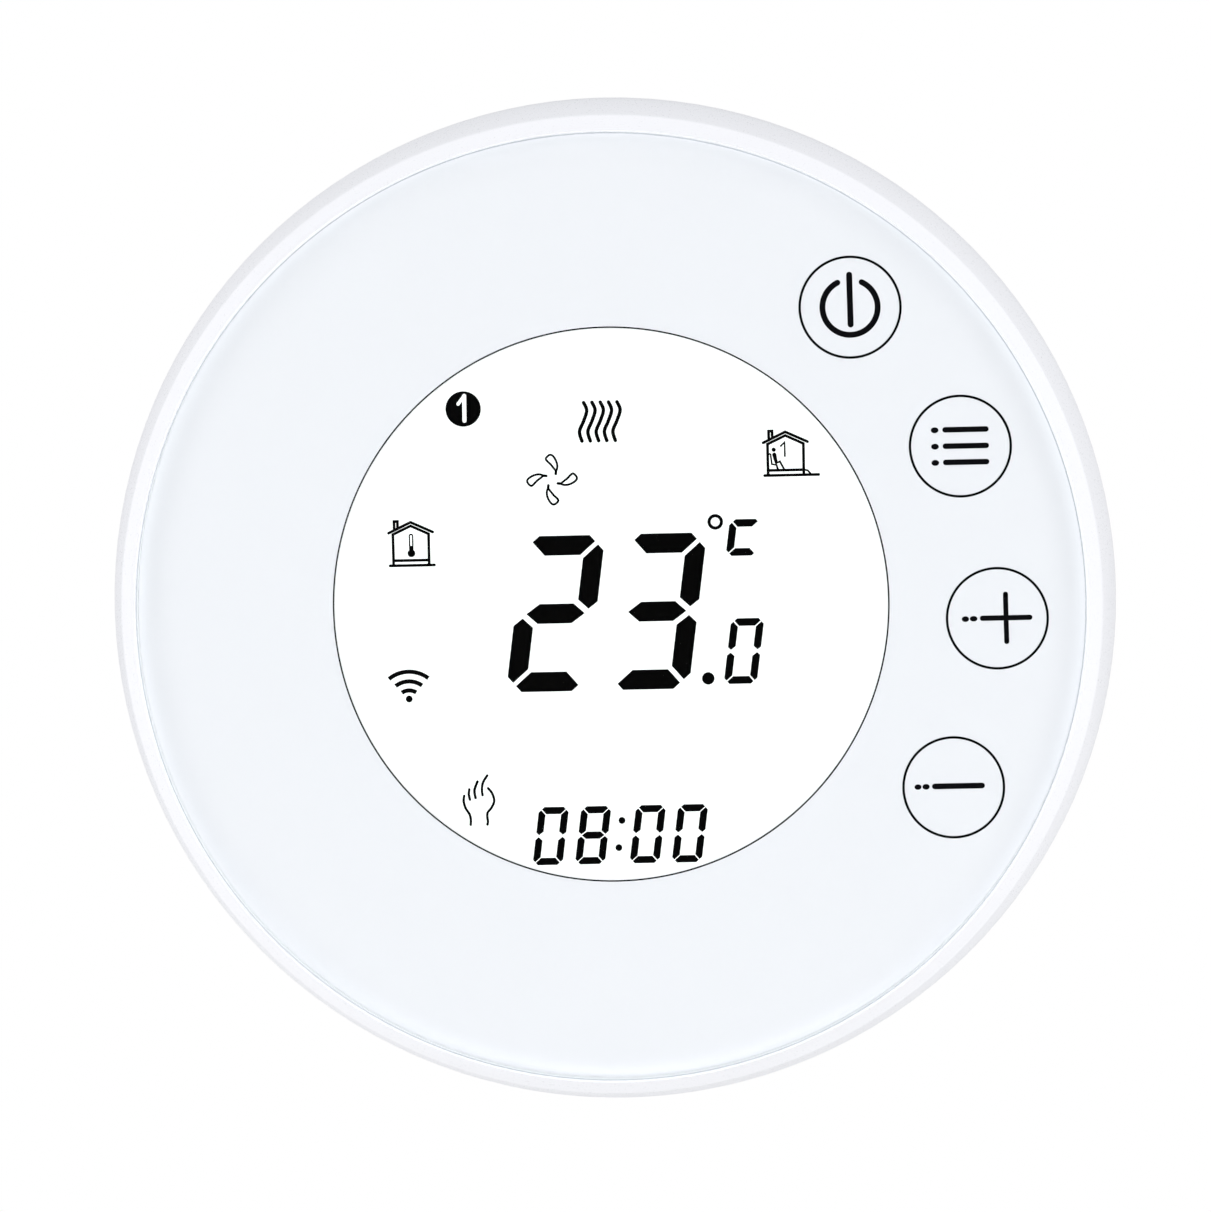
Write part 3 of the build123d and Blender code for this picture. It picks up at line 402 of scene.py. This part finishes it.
DISPLAY_LOOK = dict(color=(0.95, 0.955, 0.96), rough=0.45, shift=0.004, grain=3000, grain_depth=0.001,
                    emission=0.22)
DARK_LOOK = dict(rough=0.6, shift=0.3, grain=5000, grain_depth=0.001, specular=0.0)
SURFACES = {
    "adhesive": dict(color=(0.82, 0.83, 0.84), rough=0.7),
    "cover_plastic": dict(color=(0.80, 0.81, 0.83), rough=0.5, grain=3600),
    "polarizer": DISPLAY_LOOK,
    "holder_plastic": dict(color=(0.80, 0.80, 0.78), rough=0.5),
    "guide_acrylic": dict(color=(0.85, 0.90, 0.92), rough=0.12, grain_depth=0.001),
    "reflector": dict(color=(0.92, 0.92, 0.92), rough=0.3, shift=0.01),
    "chip_black": dict(color=(0.018, 0.018, 0.02), rough=0.55, shift=0.2, grain=4200),
    "chip_part": dict(color=(0.16, 0.115, 0.075), rough=0.5, shift=0.35),
    "lamp": dict(color=(0.86, 0.80, 0.45), rough=0.3, shift=0.1),
    "tinned": dict(color=(0.70, 0.70, 0.70), rough=0.28, metal=1.0, shift=0.08, grain=900),
    "zinc_steel": dict(color=(0.60, 0.62, 0.65), rough=0.34, metal=1.0, shift=0.14, grain=2600,
                       grain_depth=0.01, blotch=160, rough_shift=0.1),
    "screw_steel": dict(color=(0.62, 0.63, 0.65), rough=0.27, metal=1.0, shift=0.2, grain=3200),
    "spring_steel": dict(color=(0.68, 0.68, 0.67), rough=0.25, metal=1.0, shift=0.1),
    "cell_steel": dict(color=(0.72, 0.72, 0.73), rough=0.18, metal=1.0, shift=0.05, grain_depth=0.004),
    "rubber_strip": dict(color=(0.42, 0.43, 0.46), rough=0.6, stretch=(9, 1, 1), grain=900),
    "connector_black": dict(color=(0.02, 0.02, 0.022), rough=0.42, shift=0.2, grain=3600),
    "case_plastic": dict(color=(0.76, 0.77, 0.785), rough=0.46, shift=0.035, grain=3400, grain_depth=0.03,
                         blotch=70),
    "cap_sleeve": dict(color=(0.02, 0.03, 0.07), rough=0.3, shift=0.2),
    "film_cap_yellow": dict(color=(0.62, 0.40, 0.03), rough=0.35, shift=0.1),
    "varistor_blue": dict(color=(0.02, 0.06, 0.34), rough=0.35, shift=0.15),
    "fuse_brown": dict(color=(0.06, 0.035, 0.025), rough=0.45, shift=0.2),
    "ferrite": dict(color=(0.06, 0.06, 0.065), rough=0.5, shift=0.25, metal=0.3),
    "relay_blue": dict(color=(0.012, 0.045, 0.22), rough=0.3, shift=0.12),
    "relay_iron": dict(color=(0.50, 0.50, 0.51), rough=0.35, metal=1.0, shift=0.15),
    "contact_brass": dict(color=(0.70, 0.46, 0.16), rough=0.28, metal=1.0, shift=0.15),
    "block_grey": dict(color=(0.22, 0.235, 0.25), rough=0.45, shift=0.08, grain=3200),
    "clamp_steel": dict(color=(0.66, 0.62, 0.50), rough=0.3, metal=1.0, shift=0.2),
    "thermistor": dict(color=(0.30, 0.10, 0.02), rough=0.35, shift=0.2),
}
MATERIALS = {
    "clear_glass": clear("clear_glass", (0.985, 0.995, 0.99)),
    "display_glass": clear("display_glass", (0.97, 0.99, 0.98)),
    "printed_film": film_surface("printed_film", (0.778, 0.770, 0.818)),
    "white_plastic": rim_surface("white_plastic", (0.88, 0.885, 0.915)),
    "board": board_surface("board", (0.012, 0.11, 0.045), (0.05, 0.24, 0.10)),
    "winding": wound("winding", (0.72, 0.30, 0.11), (0.30, 0.10, 0.03), 900, "Y"),
    **{name: surface(name, **look) for name, look in SURFACES.items()},
}
INK = surface("black_ink", (0.004, 0.004, 0.005), **DARK_LOOK)
LIQUID = surface("liquid_crystal", (0.002, 0.002, 0.002), **DARK_LOOK)
PAPER = surface("display_ground", **DISPLAY_LOOK)

SLOT_OF = {part["node"]: part["material_slot"] for part in frame["record"]["subparts"]}
for node, obj in NODES.items():
    chosen = MATERIALS[SLOT_OF[node]]
    if not obj.data.materials:
        obj.data.materials.append(chosen)
    for slot in obj.material_slots:
        slot.material = chosen


# ---------------------------------------------------------------- key symbols on the film
KEY_LINE_R, KEY_LINE_W = 4.96, 0.25


def inked(name, shape):
    flat_piece(name, shape, FILM_Z, INK_T, INK)


def dash(x1, x2, y, width):
    return stroke([(x1, y), (x2, y)], width)


def power_symbol():
    return merged(stroke(arc(0, 0, 2.72, 116, 424, 90), 0.58), stroke([(-0.02, 3.2), (0.02, -1.7)], 0.59))


def menu_symbol():
    rows = []
    for y in (1.62, 0.0, -1.6):
        rows += [oval(-2.5, y, 0.38, 0.29), dash(-1.47, 2.55, y + 0.02, 0.55)]
    return merged(*rows)


def plus_symbol():
    middle, half = 0.03, 0.26
    dots = oval(-3.15, -0.02, 0.36, 0.28), oval(-2.34, 0.0, 0.38, 0.27)
    bar = dash(-1.47, 3.2, middle, 2 * half)
    up = stroke([(0.86, middle + half), (0.85, 1.3), (0.85, 2.38)], 0.5, round_ends=False)
    down = stroke([(0.86, middle - half), (0.87, -1.3), (0.88, -2.33)], 0.5, round_ends=False)
    tips = oval(0.85, 2.38, 0.25, 0.24), oval(0.88, -2.33, 0.25, 0.24)
    return merged(*dots, bar, up, down, *tips)


def minus_symbol():
    return merged(oval(-3.53, 0.1, 0.35, 0.27), oval(-2.73, 0.11, 0.36, 0.28), dash(-1.86, 2.8, 0.13, 0.57))


KEYS = {
    "power": (power_symbol(), 24.27, 29.09),
    "menu": (menu_symbol(), 34.83, 15.16),
    "plus": (plus_symbol(), 38.12, -1.93),
    "minus": (minus_symbol(), 33.47, -18.61),
}
for key, (symbol, x, y) in KEYS.items():
    inked("key_" + key + "_circle", ring(x, y, KEY_LINE_R, KEY_LINE_W))
    inked("key_" + key + "_symbol", moved(symbol, x, y))


# ---------------------------------------------------------------- display figures
SLANT = math.tan(math.radians(8.0))
LIT = {"0": "abcdef", "2": "abged", "3": "abgcd", "8": "abcdefg"}
# Width, height, thickness of a bar, and how far the bars bleed past their outline.
LARGE = (7.95, 15.33, 1.84, 0.06)
TENTHS = (3.20, 6.42, 0.68, 0.04)
LETTER = (3.06, 3.55, 0.68, 0.04)
CLOCK = (2.88, 5.68, 0.62, 0.05)


def segments(width, height, thick):
    """The bars of a figure, as (right, down) points from its top left corner. Cut ends go by thickness."""
    mitre, corner, middle = 0.22 * thick, 0.82 * thick, height / 2
    tip_out, tip_in = (corner + mitre) / 2, (corner - mitre) / 2
    point, shoulder = 0.64 * thick, 1.26 * thick

    def across(bar):
        return [(width - u, v) for u, v in bar]

    def over(bar):
        return [(u, height - v) for u, v in bar]

    top = [(corner, 0), (tip_out, tip_in), (thick + mitre, thick), (width - thick - mitre, thick),
           (width - tip_out, tip_in), (width - corner, 0)]
    left = [(0, corner), (tip_in, tip_out), (thick, thick + mitre), (thick, middle - 0.75 * thick),
            (0.42 * thick, middle - 0.27 * thick), (0, middle - 0.63 * thick)]
    centre = [(point, middle), (shoulder, middle - thick / 2), (width - shoulder, middle - thick / 2),
              (width - point, middle), (width - shoulder, middle + thick / 2), (shoulder, middle + thick / 2)]
    full = [(0, corner), (tip_in, tip_out), (thick, thick + mitre), (thick, height - thick - mitre),
            (tip_in, height - tip_out), (0, height - corner)]
    return {"a": top, "f": left, "b": across(left), "g": centre, "e": over(left), "c": over(across(left)),
            "d": over(top), "side": full}


def grown(points, by):
    """Convex outline moved outwards on every side."""
    sense = sense_of(points)
    found = []
    for n, p in enumerate(points):
        here = Vector(p)
        back = (here - Vector(points[n - 1])).normalized()
        on = (Vector(points[(n + 1) % len(points)]) - here).normalized()
        out = (Vector((back.y + on.y, -back.x - on.x)) * sense).normalized()
        reach = max(0.55, out.dot(Vector((back.y, -back.x)) * sense))
        found.append(tuple(here + out * (by / reach)))
    return found


def figure(lit, x, top, size):
    """Slanted figure made of these bars."""
    width, height, thick, bleed = size
    bars = segments(width, height, thick)
    outlines = [[(x + u - v * SLANT, top - v) for u, v in bars[bar]] for bar in lit]
    return merged(*[polygon(grown(outline, bleed)) for outline in outlines])


def shown(name, shape):
    flat_piece("lcd_" + name, shape, DISPLAY_Z, INK_T, LIQUID)


shown("temperature_tens", figure(LIT["2"], -8.40, 7.08, LARGE))
shown("temperature_units", figure(LIT["3"], 1.66, 7.10, LARGE))
shown("decimal_point", disc(9.45, -7.32, 0.62))
shown("temperature_tenths", figure(LIT["0"], 11.90, -1.46, TENTHS))
shown("degree_ring", ring(10.50, 8.18, 0.61, 0.33, 64))
shown("degree_letter", figure(("a", "side", "d"), 11.98, 8.36, LETTER))
for place_name, digit, x in (("hours_tens", "0", -7.56), ("hours_units", "8", -3.36),
                             ("minutes_tens", "0", 2.06), ("minutes_units", "0", 6.24)):
    shown("clock_" + place_name, figure(LIT[digit], x, -19.84, CLOCK))
shown("clock_colon", merged(disc(0.57, -21.27, 0.34), disc(0.20, -23.97, 0.34)))


# ---------------------------------------------------------------- display pictures
THIN, LINE, BOLD = 0.22, 0.28, 0.36

WAVE = [(-2.22, 20.26), (-1.93, 19.46), (-2.27, 18.40), (-2.69, 17.39), (-2.47, 16.45)]
WAVE_SHIFTS = (0, 0.83, 1.65, 2.46, 3.30)

FAN = (-5.52, 12.70)
FAN_STEM, FAN_STEM_W = [(0.38, 0.56), (0.40, 0.72), (0.42, 0.92)], 0.27
BLADE = [(0.42, 0.90), (0.55, 1.25), (0.50, 1.68), (0.33, 2.08), (0.10, 2.38), (-0.15, 2.46), (-0.42, 2.30),
         (-0.57, 2.07), (-0.42, 1.83), (-0.10, 1.52), (0.16, 1.17)]

OCCUPIED, INDOOR = (17.6, 12.65), (-19.64, 4.5)
SIGNAL, SIGNAL_W = (-20.22, -9.2), 0.43
SIGNAL_ARCS = ((1.29, 34), (2.19, 37), (3.15, 38.5))     # radius, and half the angle it spans

HAND = [                                         # each line's width, and the points it runs through
    (0.25, [(-15.02, -18.5), (-15.08, -19.05), (-14.91, -19.72), (-14.54, -20.34), (-14.42, -20.84),
            (-14.44, -21.41)]),
    (0.25, [(-14.5, -17.87), (-14.55, -18.4), (-14.45, -18.9)]),
    (0.26, [(-13.66, -17.11), (-13.98, -17.97), (-13.89, -18.74)]),
    (0.25, [(-12.68, -16.53), (-13.11, -17.21), (-13.24, -17.93), (-13.19, -18.48)]),
    (0.25, [(-12.62, -17.8), (-12.23, -18.33), (-12.05, -19.06), (-12.32, -19.72), (-12.72, -20.21),
            (-12.78, -20.65), (-12.72, -21.09), (-12.78, -21.42)]),
]


def house(x, ground):
    """House outline: chimney, double roof line, walls and floor."""
    chimney = stroke([(-1.63, 3.70), (-1.63, 4.39), (-1.29, 4.39), (-1.29, 3.86)], LINE)
    roof = stroke([(-2.2, 3.24), (0, 4.28), (2.18, 3.27)], LINE)
    walls = stroke([(-1.77, 0.06), (-1.77, 3.10), (0, 3.92), (1.77, 3.09), (1.75, 0.06)], LINE)
    lowest = stroke([(-1.68, 0.5), (1.67, 0.5)], LINE, round_ends=False)
    return moved(merged(chimney, roof, walls, lowest), x, ground)


def turned(points, angle):
    """Points turned by this angle about the fan's middle."""
    spin = Matrix.Rotation(angle, 2)
    return [tuple(spin @ Vector(p) + Vector(FAN)) for p in points]


def fan():
    parts = []
    for quarter in range(4):
        angle = -math.pi / 2 * quarter
        parts.append(stroke(turned(smooth(BLADE, 4, closed=True), angle), THIN, closed=True))
        parts.append(stroke(turned(FAN_STEM, angle), FAN_STEM_W))
    return merged(*parts)


def small_number_one():
    return stroke([(17.1392, 15.5464), (17.52, 15.9), (17.52, 14.54)], 0.19)


def house_occupied():
    x, ground = OCCUPIED
    ground_line = stroke([(x - 2.12, ground), (x + 3.22, ground)], LINE)
    step = stroke([(19.45, 13.14), (19.75, 13.08), (20.03, 12.74)], 0.19)
    return merged(house(x, ground), ground_line, step, small_number_one())


def seated_figure():
    head = disc(16.43, 15.19, 0.21)
    trunk = stroke([(16.48, 14.70), (16.56, 14.32), (16.65, 13.95)], 0.42, taper=(1.0, 0.75))
    thigh = stroke([(16.82, 13.92), (17.02, 14.02), (17.41, 13.26)], 0.20)
    shin = stroke([(16.64, 13.80), (16.80, 13.27)], 0.20)
    seat = stroke([(15.95, 14.80), (16.11, 14.74), (16.22, 13.76), (16.55, 13.70)], 0.17)
    return merged(head, trunk, thigh, shin, seat)


def house_indoor():
    x, ground = INDOOR
    return merged(house(x, ground), stroke([(x - 2.13, ground), (x + 2.27, ground)], LINE))


def thermometer():
    dome = arc(-19.62, 7.42, 0.16, 180, 0, 12)
    tube = stroke([(-19.78, 6.42), (-19.78, 7.40), *dome, (-19.46, 7.40), (-19.46, 6.42)], 0.14,
                  round_ends=False)
    column = stroke([(-19.62, 6.44), (-19.62, 5.95)], 0.44, round_ends=False)
    return merged(tube, column, disc(-19.62, 5.70, 0.38))


def signal():
    arcs = [stroke(arc(*SIGNAL, radius, 90 - half, 90 + half), SIGNAL_W, round_ends=False)
            for radius, half in SIGNAL_ARCS]
    return merged(disc(SIGNAL[0], -8.76, 0.34), *arcs)


shown("heat_waves", merged(*[stroke(smooth([(x + dx, y) for x, y in WAVE]), BOLD) for dx in WAVE_SHIFTS]))
shown("fan", fan())
shown("programme_disc", disc(-14.13, 19.88, 1.75, 96))
flat_piece("lcd_programme_number", merged(stroke([(-14.62, 20.38), (-14.0, 21.18)], 0.33),
                                          stroke([(-14.0, 21.18), (-14.03, 18.72)], 0.40)),
           DISPLAY_Z + INK_T, NUMBER_T, PAPER)
shown("house_occupied", house_occupied())
shown("seated_figure", seated_figure())
shown("house_indoor", house_indoor())
shown("thermometer", thermometer())
shown("signal", signal())
shown("hand", merged(*[stroke(smooth(path), width) for width, path in HAND]))
inked("window_line", ring(0, 0.2, 27.46, 0.15, 360))


# ---------------------------------------------------------------- camera, in front, slightly above and right
CAMERA_AWAY, FIELD_WIDTH = 850.0, 119.3927       # distance to the aim, and the width seen there
AIM = (-0.445, 0.26, GLASS_FRONT_Z)
AZIMUTH, ELEVATION, ROLL = math.radians(2.47), math.radians(4.74), math.radians(1.4)

away = Vector((math.sin(AZIMUTH) * math.cos(ELEVATION), -math.cos(AZIMUTH) * math.cos(ELEVATION),
               math.sin(ELEVATION)))
right = (-away).cross(Vector((0, 0, 1))).normalized()
above = right.cross(-away)
rolled_up = above * math.cos(ROLL) + right * math.sin(ROLL)
rolled_right = right * math.cos(ROLL) - above * math.sin(ROLL)
camera_data = bpy.data.cameras.new("front_camera")
camera_data.sensor_fit = "HORIZONTAL"
camera_data.sensor_width = 36.0
camera_data.lens = camera_data.sensor_width * CAMERA_AWAY / FIELD_WIDTH
camera_data.clip_start = 0.01
camera_data.clip_end = 50
camera = bpy.data.objects.new("front_camera", camera_data)
bpy.context.scene.collection.objects.link(camera)
stand = Matrix.Translation(place(*AIM) + away * CAMERA_AWAY * MM)
camera.matrix_world = stand @ Matrix((rolled_right, rolled_up, away)).transposed().to_4x4()
bpy.context.scene.camera = camera


# ---------------------------------------------------------------- studio
scene = bpy.context.scene
scene.view_settings.view_transform = "Standard"
scene.view_settings.look = "None"

world = bpy.data.worlds.new("studio")
scene.world = world
world.use_nodes = True
room = world.node_tree
room.nodes.clear()
way = add(room, "SeparateXYZ", {"Vector": add(room, "TexCoord").outputs["Generated"]}).outputs
# Dark directly in front of the glass, so that nothing bright mirrors in it, and softer light from behind.
ahead = ramp(room, way["Y"], -0.985, -0.93, 0.02, 1.0)
behind = ramp(room, way["Y"], -0.4, 0.9, 0.96, 0.60)
strength = worked(room, "MULTIPLY", ahead, behind)
lit = add(room, "Background", {"Color": (0.97, 0.98, 1.0, 1), "Strength": strength})
backdrop = add(room, "Background", {"Color": (1, 1, 1, 1), "Strength": 1.0})
choose = add(room, "MixShader", {"Fac": add(room, "LightPath").outputs["Is Camera Ray"],
                                 1: lit.outputs["Background"], 2: backdrop.outputs["Background"]})
add(room, "OutputWorld", {"Surface": choose.outputs["Shader"]})


def softbox(name, location, size, watts):
    """Soft light aimed at the origin."""
    data = bpy.data.lights.new(name, "AREA")
    data.shape = "RECTANGLE"
    data.size, data.size_y = size
    data.energy = watts
    data.color = (1.0, 0.985, 0.96)
    lamp = bpy.data.objects.new(name, data)
    scene.collection.objects.link(lamp)
    lamp.location = location
    lamp.rotation_euler = (-Vector(location)).to_track_quat("-Z", "Y").to_euler()


softbox("left_soft", (-1.2, -0.85, 0.2), (0.6, 0.9), 4.2)
softbox("right_soft", (1.2, -0.9, 0.3), (0.6, 0.9), 4.6)
softbox("top_soft", (0.0, -1.25, 0.95), (0.9, 0.5), 2.0)
softbox("low_soft", (0.0, -0.72, -0.24), (0.9, 0.08), 1.1)

FLOOR_Z, FLOOR_R = -0.30, 1.5
floor_mesh = bpy.data.meshes.new("floor")
floor_bm = bmesh.new()
bmesh.ops.create_circle(floor_bm, cap_ends=True, radius=FLOOR_R, segments=96)
floor_bm.to_mesh(floor_mesh)
floor_bm.free()
floor = bpy.data.objects.new("floor", floor_mesh)
floor.location.z = FLOOR_Z
scene.collection.objects.link(floor)
floor_mesh.materials.append(surface("floor_paper", (0.80, 0.80, 0.80), 0.8, shift=0.02, grain=400, blotch=8,
                                    emission=0.08))
